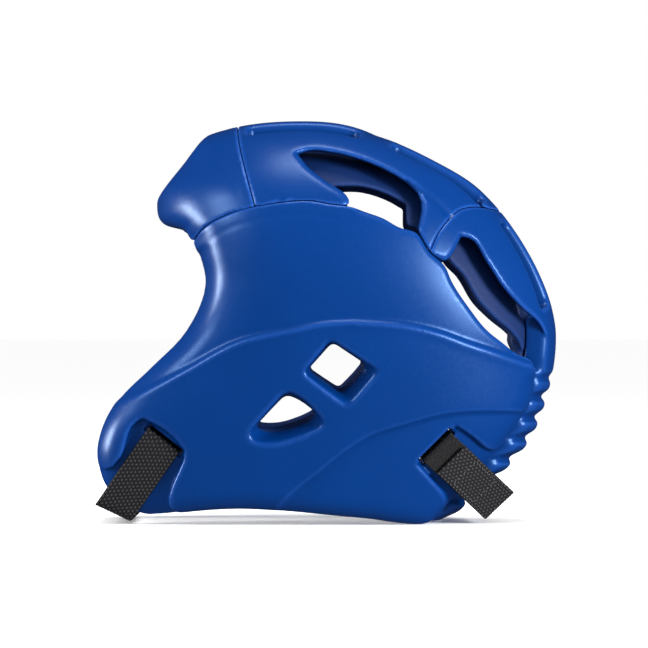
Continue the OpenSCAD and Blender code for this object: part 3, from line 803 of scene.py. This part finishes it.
def floor_x(strap, f):
    """Height of the channel's floor under a strap's middle; past the shell's edge it runs on straight."""
    if f <= SURFACE_END:
        return face_x(*side_point(strap, f), CHANNEL_DEPTH)
    last = floor_x(strap, SURFACE_END)
    return last + (last - floor_x(strap, SURFACE_END - 0.1)) * 10 * (f - SURFACE_END)


def width_at(strap, f):
    """Half width vector of a strap a share f down its side run: it lies on the face, then levels out."""
    first, last = (math.radians(v) for v in strap["lean"])
    share = min(max(f, 0), 1)
    y, z = side_point(strap, 0.3)
    w = STRAP_W / 2
    dy, dz = w * math.cos(first), w * math.sin(first)
    tilt = (face_x(y + dy, z + dz, CHANNEL_DEPTH) - face_x(y - dy, z - dz, CHANNEL_DEPTH)) / STRAP_W
    now = first + (last - first) * share
    return np.array([tilt * (1 - share), math.cos(now), math.sin(now)]) * w


def run_at(strap, f):
    y, z = side_point(strap, f)
    return np.array([floor_x(strap, f), y, z])


def run_heading(strap, f):
    return unit(run_at(strap, f + 0.05) - run_at(strap, f - 0.05))


def run_station(strap, lift, f):
    """A station of a strap that lies lift mm over the channel's floor."""
    out = unit(np.cross(width_at(strap, f), run_heading(strap, f)))
    out = out if out[0] > 0 else -out
    return [run_at(strap, f) + out * lift, width_at(strap, f), out]


def turn_share(strap):
    return 1 - TURN_R / run_length(strap)


def rooted(strap, lift, end):
    """The strap from inside the shell, out through its slot and down a share of its side run."""
    s, w, _ = run_station(strap, lift, 0)
    down = run_heading(strap, 0)
    up = -unit([0, down[1], down[2]])
    lead = [[s - (CHANNEL_DEPTH + FOAM_T, 0, 0), w * (0, 1, 1), up], [s - (4, 0, 0), w, up],
            [s - (0.6, 0, 0) - up * 0.4, w, unit(up + (0.8, 0, 0))]]
    run = [run_station(strap, lift, f) for f in (0.08, 0.2, 0.35, 0.5, 0.65, 0.8) if f < end - 0.05]
    return lead + run + [run_station(strap, lift, end)]


def turned(strap, lift, first, last, count=7):
    """The bend from a strap's side run towards the other side."""
    f = turn_share(strap)
    s, _, o = run_station(strap, lift, f)
    d = run_heading(strap, f)
    stations = []
    for g in np.linspace(first, last, count):
        middle = s + d * TURN_R * math.sin(g) - o * TURN_R * (1 - math.cos(g))
        stations.append([middle, width_at(strap, 1), unit(o * math.cos(g) + d * math.sin(g))])
    return stations


def on_side(stations, side):
    return [[v * (side, 1, 1) for v in station] for station in stations]


def flipped(stations):
    """The same stations on the other side, read the other way."""
    return on_side(stations[::-1], -1)


def side_part(strap, lift, start, end, narrow=0.0):
    """Part of a strap's fastening end, from start to end mm up its side run from the turn."""
    f, length = turn_share(strap), run_length(strap)
    stations = [run_station(strap, lift, f - d / length) for d in np.linspace(start, end, 7)]
    return [[m, w * (1 - narrow), o] for m, w, o in reversed(stations)]


def resampled(stations, spacing):
    """Stations along a smooth curve through the given ones, evenly spaced, and their distance along it."""
    mids, wide, out = (np.array(v) for v in zip(*stations))
    gaps = np.linalg.norm(np.diff(mids, axis=0), axis=1)
    along = np.concatenate([[0], np.cumsum(gaps)])
    at = np.linspace(0, along[-1], max(int(along[-1] / spacing), 4))
    i = np.clip(np.searchsorted(along, at, side="right") - 1, 0, len(along) - 2)
    t = ((at - along[i]) / (along[i + 1] - along[i]))[:, None]
    h = (along[i + 1] - along[i])[:, None]
    slopes = np.gradient(mids, along, axis=0)
    middle = eased(mids[i], mids[i + 1], h * slopes[i], h * slopes[i + 1], t)
    width, normal = (v[i] * (1 - t) + v[i + 1] * t for v in (wide, out))
    forward = np.gradient(middle, at, axis=0)
    normal = normal - forward * ((normal * forward).sum(1) / (forward ** 2).sum(1))[:, None]
    return middle, width, normal / np.linalg.norm(normal, axis=1)[:, None], at


def webbing_relief(u, v):
    """Height of plain webbing, 0 to 1: narrow ribs across it, each a chain of short dashes."""
    sizes = bpy.context.scene.guard_sizes
    rib = (u + STRAP_W / 2) / (STRAP_W / sizes.webbing_ribs)
    across = np.sin(math.pi * (rib % 1)) ** 0.6
    odd = np.floor(rib) % 2
    shift = odd * 0.5
    slant = (rib % 1 - 0.5) * np.where(odd > 0, DASH_SLANT, -DASH_SLANT)
    dash = 0.5 + 0.5 * np.cos(2 * math.pi * (v / (sizes.weave_pitch / MM) + shift + slant))
    return across * (0.25 + 0.75 * dash ** 0.6)


def pile_relief(u, v):
    """Height of loop pile: a tangle with no rows, made from a few crossing waves."""
    tangle = np.sin(u * 5.1 + 2.3 * np.sin(v * 3.7)) + np.sin(v * 5.9 + 2.1 * np.sin(u * 4.3 + 1.0))
    tufts = np.sin(u * 2.3 + v * 1.1 + 1.7 * np.sin(v * 1.9)) * np.sin(v * 2.9 - u * 0.7)
    return np.clip(0.5 + 0.17 * tangle + 0.2 * tufts, 0, 1)


def hook_relief(u, v):
    return np.clip(np.sin(u * 4.6) * np.sin(v * 4.6), 0, 1) ** 0.5


def roll_off(share, floor):
    """A quarter round: full height at share 0, down to the floor's root at share 1."""
    return np.sqrt(np.clip(1 - np.clip(share, 0, 1) ** 2, floor, 1))


def ribbon(name, stations, thick, relief, rise, finish, body, slot, nodes, columns=66, start=0.0,
           open_ends=(False, False)):
    """A band with its weave raised on both faces and rounded selvedges."""
    middle, width, out, at = resampled(stations, WEAVE_STEP)
    half = np.linalg.norm(width, axis=1)
    share = np.linspace(-1, 1, columns)
    share = np.sign(share) * np.abs(share) ** SELVEDGE
    u, v = share[None] * half[:, None], (at + start)[:, None] + 0 * share[None]
    height = relief(u, v)
    selvedge = roll_off((np.abs(share) - SELVEDGE) / (1 - SELVEDGE), 0.04)
    ends = np.ones(len(at))
    for is_open, near in zip(open_ends, (at, at[-1] - at)):
        if not is_open:
            ends = ends * roll_off(1 - near, 0.05)
    body_half = (thick / 2 - rise) * selvedge[None] * ends[:, None] + rise * height * selvedge[None]
    base = middle[:, None] + width[:, None] * share[None, :, None]
    lift = out[:, None] * body_half[..., None]
    verts = np.concatenate([(base + lift).reshape(-1, 3), (base - lift).reshape(-1, 3)])
    # The weave's height rides along on the mesh; the yarn effect paints its sheen on the high places.
    weave = np.tile(np.stack([u.ravel(), v.ravel(), height.ravel()], 1), (2, 1))
    top = np.arange(u.size).reshape(u.shape)
    low = top + u.size
    loops = ((top[:-1, :-1], top[1:, :-1], top[1:, 1:], top[:-1, 1:]),
             (low[:-1, :-1], low[:-1, 1:], low[1:, 1:], low[1:, :-1]),
             (top[:-1, 0], low[:-1, 0], low[1:, 0], top[1:, 0]),
             (top[:-1, -1], top[1:, -1], low[1:, -1], low[:-1, -1]),
             (top[0, :-1], top[0, 1:], low[0, 1:], low[0, :-1]),
             (top[-1, :-1], low[-1, :-1], low[-1, 1:], top[-1, 1:]))
    quads = np.vstack([np.stack([corner.ravel() for corner in loop], 1) for loop in loops])
    corner = verts[quads[0]]
    if np.dot(np.cross(corner[1] - corner[0], corner[2] - corner[0]), out[0]) < 0:
        quads = quads[:, ::-1]
    return new_piece(name, verts, quads, finish, body, nodes, weave)


def seam(name, stations, lift, path, finish, body, slot):
    """A row of stitches on a band's outer face, along a path of (across, along) places in mm."""
    middle, width, out, at = resampled(stations, 0.5)
    verts, faces, weave = [], [], []
    path = np.array(path, float)

    def ring(place, go, s):
        """One ring of a stitch, a share s along it."""
        j = int(np.clip(np.searchsorted(at, place[1]), 0, len(at) - 1))
        across = unit(width[j])
        heading = unit(np.cross(out[j], across))
        bow = math.sin(math.pi * s)
        centre = middle[j] + across * place[0] + out[j] * (lift + STITCH_BOW * bow)
        way = np.sign(np.dot(heading, middle[-1] - middle[0]))
        sideways = unit(across * go[1] - heading * go[0] * way)
        radius = STITCH_R * (0.55 + 0.45 * bow)
        for q in range(STITCH_SIDES):
            g = q * 2 * math.pi / STITCH_SIDES
            verts.append(centre + sideways * math.cos(g) * radius + out[j] * math.sin(g) * radius)
            # The third value is highest at the stitch's middle, where the yarn effect paints its sheen.
            weave.append((*place, 0.4 + 0.6 * bow))

    for a, b in zip(path[:-1], path[1:]):
        count = max(int(np.hypot(*(b - a)) / STITCH_PITCH), 1)
        for k in range(count):
            from_, to = (a + (b - a) * (k + e) / count for e in (0.12, 0.88))
            first = len(verts)
            for r in range(STITCH_RINGS):
                s = r / (STITCH_RINGS - 1)
                ring(from_ + (to - from_) * s, to - from_, s)
            for r in range(STITCH_RINGS - 1):
                for q in range(STITCH_SIDES):
                    a0 = first + r * STITCH_SIDES + q
                    a1 = first + r * STITCH_SIDES + (q + 1) % STITCH_SIDES
                    faces.append((a0, a1, a1 + STITCH_SIDES, a0 + STITCH_SIDES))
            faces.append(tuple(first + q for q in range(STITCH_SIDES))[::-1])
            faces.append(tuple(len(verts) - STITCH_SIDES + q for q in range(STITCH_SIDES)))
    return new_piece(name, verts, faces, finish, body, (), weave)


def folded_stop(name, node_name, strap, finish):
    """The folded and sewn end that holds a strap inside the shell."""
    low, high = (np.array(v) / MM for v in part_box(node_name))
    centre = (low + high) / 2
    lean = math.radians(strap["lean"][0])
    wide = np.array([0, math.cos(lean), math.sin(lean)]) * STRAP_W / 2
    up = np.array([0, -math.sin(lean), math.cos(lean)])
    side = np.array([1.0, 0, 0])
    stations = []
    for g in np.linspace(0, 2 * math.pi, 25):
        c, s = math.cos(g), math.sin(g)
        flat = np.sign(c) * abs(c) ** 0.6 * FOLD_HIGH, np.sign(s) * abs(s) ** 0.7 * FOLD_DEEP
        stations.append([centre + up * flat[0] + side * flat[1], wide, unit(up * c + side * s * 2.5)])
    return ribbon(name, stations, FOLD_T, webbing_relief, FOLD_RISE, finish, "shell", "webbing",
                  (node_name,), columns=44)


def strap_set(which, strap):
    """A strap from slot to fastening end, the loop strap it closes on, its hook patch and its stitches."""
    kit = finishes(bpy.context.scene)
    side = strap["root_side"]
    f = turn_share(strap)
    heading = run_heading(strap, f)
    bend = math.acos(-heading[0]) - BEND_SHORT
    near = rooted(strap, LIFT_ROOT, f) + turned(strap, LIFT_ROOT, BEND_FROM, bend)
    away = flipped(side_part(strap, LIFT_TAB, 0, TAB_LEN) + turned(strap, LIFT_TAB, BEND_FROM, bend))
    centre = [(near[-1][0] + away[0][0]) / 2, width_at(strap, 1) * (0, 1, 1), near[-1][2] + away[0][2]]
    first, second = on_side(near + [centre], side), on_side([centre] + away, side)
    length = resampled(first, 1.0)[3][-1]
    crossing, fastening, node_name = which + "_crossing", which + "_fastening", which + "_strap"

    def band(name, stations, nodes, **more):
        return ribbon(which + name, stations, STRAP_T, webbing_relief, WEAVE_RISE, kit["webbing"], None,
                      "webbing", nodes, **more)

    def folding(piece):
        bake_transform(piece)

    hinge, down = run_station(strap, LIFT_ROOT, f)[0] * (side, 1, 1), heading * (side, 1, 1)
    folding(band("_webbing", first, (node_name + "_root",), open_ends=(True, True)))
    hinge, down = run_station(strap, LIFT_TAB, f)[0] * (-side, 1, 1), heading * (-side, 1, 1)
    folding(band("_tab_webbing", second, (node_name, node_name + "_tab"), start=length,
                 open_ends=(True, False)))
    tab = on_side(flipped(side_part(strap, LIFT_TAB, HINGE_GAP / 2, TAB_LEN)), side)
    patch = side_part(strap, LIFT_HOOK, TAB_LEN * HOOK_FROM, TAB_LEN - HOOK_END, HOOK_NARROW)
    patch = on_side(flipped(patch), side)
    ribbon(which + "_hook_tape", patch, HOOK_T, hook_relief, HOOK_RISE, kit["hook"], fastening, "hook_tape",
           (which + "_hook_patch",), columns=60)
    loop = on_side(rooted(strap, LIFT_ROOT, 0.8), -side)
    ribbon(which + "_loop_pile", loop, STRAP_T, pile_relief, PILE_RISE, kit["pile"], "shell", "loop_tape",
           (which + "_loop_strap",), columns=70)
    w, low, high = STRAP_W / 2 - STITCH_INSET, STITCH_FROM, TAB_LEN - STITCH_END
    box = [(-w, low), (w, low), (w, high), (-w, high), (-w, low)]
    seam(which + "_tab_stitches", tab, STRAP_T / 2 - 0.08, box, kit["thread"], fastening, "webbing")
    for end, finish in (("_strap_stop", "webbing"), ("_loop_stop", "pile")):
        folded_stop(which + end + "_fold", which + end, strap, kit[finish])
    return {"FINISHED"}


# ---- Settings, operators and panel

class GuardSizes(bpy.types.PropertyGroup):
    """Sizes of the guard's mouldings and weave."""

    rim_bevel: bpy.props.FloatProperty(
        name="Rim bevel", description="Width of the bevel round the face opening", default=0.012,
        min=0.004, max=0.018, unit="LENGTH")
    cheek_rise: bpy.props.FloatProperty(
        name="Cheek rise", description="Height of the raised cheek over the shell", default=0.0025,
        min=0.001, max=0.004, unit="LENGTH")
    edge_round: bpy.props.FloatProperty(
        name="Edge round", description="Width of the round along the shell's free edges", default=0.012,
        min=0.004, max=0.02, unit="LENGTH")
    rib_depth: bpy.props.FloatProperty(
        name="Rib depth", description="Depth of the grooves across the neck tongue", default=0.0035,
        min=0.001, max=0.005, unit="LENGTH")
    weave_pitch: bpy.props.FloatProperty(
        name="Weave pitch", description="Length of one dash of the webbing", default=0.003,
        min=0.002, max=0.005, unit="LENGTH")
    webbing_ribs: bpy.props.IntProperty(
        name="Webbing ribs", description="Ribs across the webbing", default=12, min=6, max=20)
    mesh_size: bpy.props.FloatProperty(
        name="Mesh size", description="Size of the foam pieces' faces", default=0.0011,
        min=0.001, max=0.004, unit="LENGTH")


class GuardFinish(bpy.types.PropertyGroup):
    """Colours and gloss of the guard."""

    shell_colour: bpy.props.FloatVectorProperty(
        name="Shell", description="Colour of the moulded shell", subtype="COLOR", size=3,
        default=(0.0, 0.0225, 0.13), min=0, max=1)
    pad_colour: bpy.props.FloatVectorProperty(
        name="Pads", description="Colour of the pads inside", subtype="COLOR", size=3,
        default=(0.0, 0.012, 0.07), min=0, max=1)
    # Colour of the painted sheen on the webbing's raised yarn.
    webbing_sheen_colour: bpy.props.FloatVectorProperty(
        name="Webbing sheen", description="Colour of the webbing where its yarn stands up",
        subtype="COLOR", size=3, default=(0.062, 0.062, 0.064), min=0, max=1)
    shell_roughness: bpy.props.FloatProperty(
        name="Shell roughness", description="0 is polished, 1 is chalky", default=0.31, min=0.1, max=1,
        subtype="FACTOR")
    # Strength of the painted highlight on the shell's ridges.
    ridge_highlight: bpy.props.FloatProperty(
        name="Ridge highlight", description="How much the ridges are painted lighter", default=0.35,
        min=0, max=1, subtype="FACTOR")


class GuardStudio(bpy.types.PropertyGroup):
    """Camera and lights."""

    distance: bpy.props.FloatProperty(
        name="Camera distance", description="From the guard's middle to the camera", default=3.4,
        min=1, max=8, unit="LENGTH")
    lens: bpy.props.FloatProperty(
        name="Lens", description="Focal length in millimetres", default=295, min=50, max=400)
    key_power: bpy.props.FloatProperty(
        name="Key light", description="Power of the main soft light, in watts", default=34,
        min=0, max=400)


class GUARD_OT_forehead(bpy.types.Operator):
    """Adds the forehead panel and the pad behind it"""

    bl_idname = "guard.forehead"
    bl_label = "Forehead"

    def execute(self, context):
        return panel_and_pad("forehead", forehead_field)


class GUARD_OT_crown(bpy.types.Operator):
    """Adds the crown panel with its vents and slots, and the pad under it"""

    bl_idname = "guard.crown"
    bl_label = "Crown"

    def execute(self, context):
        return panel_and_pad("crown", crown_field)


class GUARD_OT_back(bpy.types.Operator):
    """Adds the back panel with its ribbed neck tongue, and the pad inside it"""

    bl_idname = "guard.back"
    bl_label = "Back and tongue"

    def execute(self, context):
        return panel_and_pad("back", back_field)


class GUARD_OT_wings(bpy.types.Operator):
    """Adds the left and right wings with their raised cheeks, and their pads"""

    bl_idname = "guard.wings"
    bl_label = "Wings"

    def execute(self, context):
        wing, pad = wing_field(), wing_pad_field()
        for side in ("left", "right"):
            foam_piece(side + "_wing_outer", side + "_wing", OUTER, wing, side)
            foam_piece(side + "_wing_lining", side + "_pad", LINING, pad, side)
        return {"FINISHED"}


class GUARD_OT_chin_strap(bpy.types.Operator):
    """Adds the strap under the chin with its loop strap, hook tape, stitches and stops"""

    bl_idname = "guard.chin_strap"
    bl_label = "Chin strap"

    def execute(self, context):
        return strap_set("chin", CHIN)


class GUARD_OT_rear_strap(bpy.types.Operator):
    """Adds the strap behind the neck with its loop strap, hook tape, stitches and stops"""

    bl_idname = "guard.rear_strap"
    bl_label = "Rear strap"

    def execute(self, context):
        return strap_set("rear", REAR)


class GUARD_OT_stage(bpy.types.Operator):
    """Adds the pale floor, the soft studio lights and the camera"""

    bl_idname = "guard.stage"
    bl_label = "Studio"

    def execute(self, context):
        scene, studio = context.scene, context.scene.guard_studio
        camera = bpy.data.objects.new("Camera", bpy.data.cameras.new("Camera"))
        camera.data.lens = studio.lens
        camera.data.sensor_width = 36
        camera.data.clip_end = 60
        camera.location = Vector(CAMERA_AIM) + Vector((studio.distance, 0, 0))
        camera.rotation_euler = (math.pi / 2, 0, math.pi / 2)
        scene.collection.objects.link(camera)
        scene.camera = camera
        for name, place, target, size, share in SOFT_LIGHTS:
            soft_light(name, place, target, size, studio.key_power * share)
        scene.world = studio_world()
        scene.view_settings.view_transform = "Standard"
        pale_floor()
        return {"FINISHED"}


# Each light's name, place, aim and width in metres, and its share of the key power.
SOFT_LIGHTS = (("Key", (0.9, -1.7, 1.2), (0, -0.05, 0.12), 0.9, 0.9),
               ("Front rim", (-0.2, -1.9, 0.3), (0, -0.1, 0.1), 0.7, 1.2),
               ("Back rim", (1.3, 1.8, 0.5), (0, 0.1, 0.12), 0.8, 2.8),
               ("Top", (0.2, 0.1, 2.0), (0, 0, 0.2), 0.9, 0.6))
CAMERA_AIM = (0, -0.0025, 0.1254)
FLOOR_HALF = 40.0
FLOOR_DROP = 0.0006


def soft_light(name, place, target, size, power):
    data = bpy.data.lights.new(name, "AREA")
    data.shape = "DISK"
    data.size = size
    data.energy = power
    light = bpy.data.objects.new(name, data)
    light.location = place
    light.rotation_euler = (Vector(target) - Vector(place)).to_track_quat("-Z", "Y").to_euler()
    bpy.context.scene.collection.objects.link(light)


def studio_world():
    """White all round, but dark in the gloss, which shows only the lights."""
    world = bpy.data.worlds.new("Studio")
    world.use_nodes = True
    tree = world.node_tree
    tree.nodes.clear()
    seen = node(tree, "Background", 0, {"Color": (1, 1, 1)})
    mirrored = node(tree, "Background", 0, {"Color": (0.02, 0.022, 0.03)})
    glossy = node(tree, "LightPath", "Is Glossy Ray")
    mix = node(tree, "MixShader", 0, {"Fac": glossy, 1: seen, 2: mirrored})
    feed(tree, tree.nodes.new("ShaderNodeOutputWorld").inputs["Surface"], mix)
    return world


def pale_floor():
    mesh = bpy.data.meshes.new("floor")
    s = FLOOR_HALF
    mesh.from_pydata([(-s, -s, 0), (s, -s, 0), (s, s, 0), (-s, s, 0)], [], [(0, 1, 2, 3)])
    paper = bpy.data.materials.new("Pale paper")
    paper.use_nodes = True
    tree = paper.node_tree
    fibres = noise(tree, node(tree, "TexCoord", "Object"), 120, 3)
    shader = tree.nodes["Principled BSDF"].inputs
    feed(tree, shader["Specular IOR Level"], 0.0)
    feed(tree, shader["Base Color"], mix_colour(tree, fibres, (0.95, 0.95, 0.955), (0.99, 0.99, 0.99)))
    feed(tree, shader["Roughness"], span(tree, fibres, 0, 1, 0.85, 1.0))
    mesh.materials.append(paper)
    floor = bpy.data.objects.new("floor", mesh)
    floor.location.z = CAD_BOX[0][2] - FLOOR_DROP
    floor.visible_glossy = False
    floor.visible_diffuse = False
    bpy.context.scene.collection.objects.link(floor)


OPERATORS = (GUARD_OT_forehead, GUARD_OT_crown, GUARD_OT_back, GUARD_OT_wings, GUARD_OT_chin_strap,
             GUARD_OT_rear_strap, GUARD_OT_stage)


class GUARD_PT_panel(bpy.types.Panel):
    """Sizes, finishes and parts of the head guard"""

    bl_label = "Head Guard"
    bl_idname = "GUARD_PT_panel"
    bl_space_type = "VIEW_3D"
    bl_region_type = "UI"
    bl_category = "Head Guard"

    def draw(self, context):
        layout = self.layout
        scene = context.scene
        for settings in (scene.guard_sizes, scene.guard_finish, scene.guard_studio):
            box = layout.box()
            for name in settings.bl_rna.properties.keys():
                if name not in ("rna_type", "name"):
                    box.prop(settings, name)
        for operator in OPERATORS:
            layout.operator(operator.bl_idname)


CLASSES = (GuardSizes, GuardFinish, GuardStudio) + OPERATORS + (GUARD_PT_panel,)


def register():
    for cls in CLASSES:
        bpy.utils.register_class(cls)
    bpy.types.Scene.guard_sizes = bpy.props.PointerProperty(type=GuardSizes)
    bpy.types.Scene.guard_finish = bpy.props.PointerProperty(type=GuardFinish)
    bpy.types.Scene.guard_studio = bpy.props.PointerProperty(type=GuardStudio)


def unregister():
    for name in ("guard_sizes", "guard_finish", "guard_studio"):
        delattr(bpy.types.Scene, name)
    for cls in reversed(CLASSES):
        bpy.utils.unregister_class(cls)


def main():
    register()
    for operator in OPERATORS:
        area, name = operator.bl_idname.split(".")
        getattr(getattr(bpy.ops, area), name)()


if __name__ == "__main__":
    main()
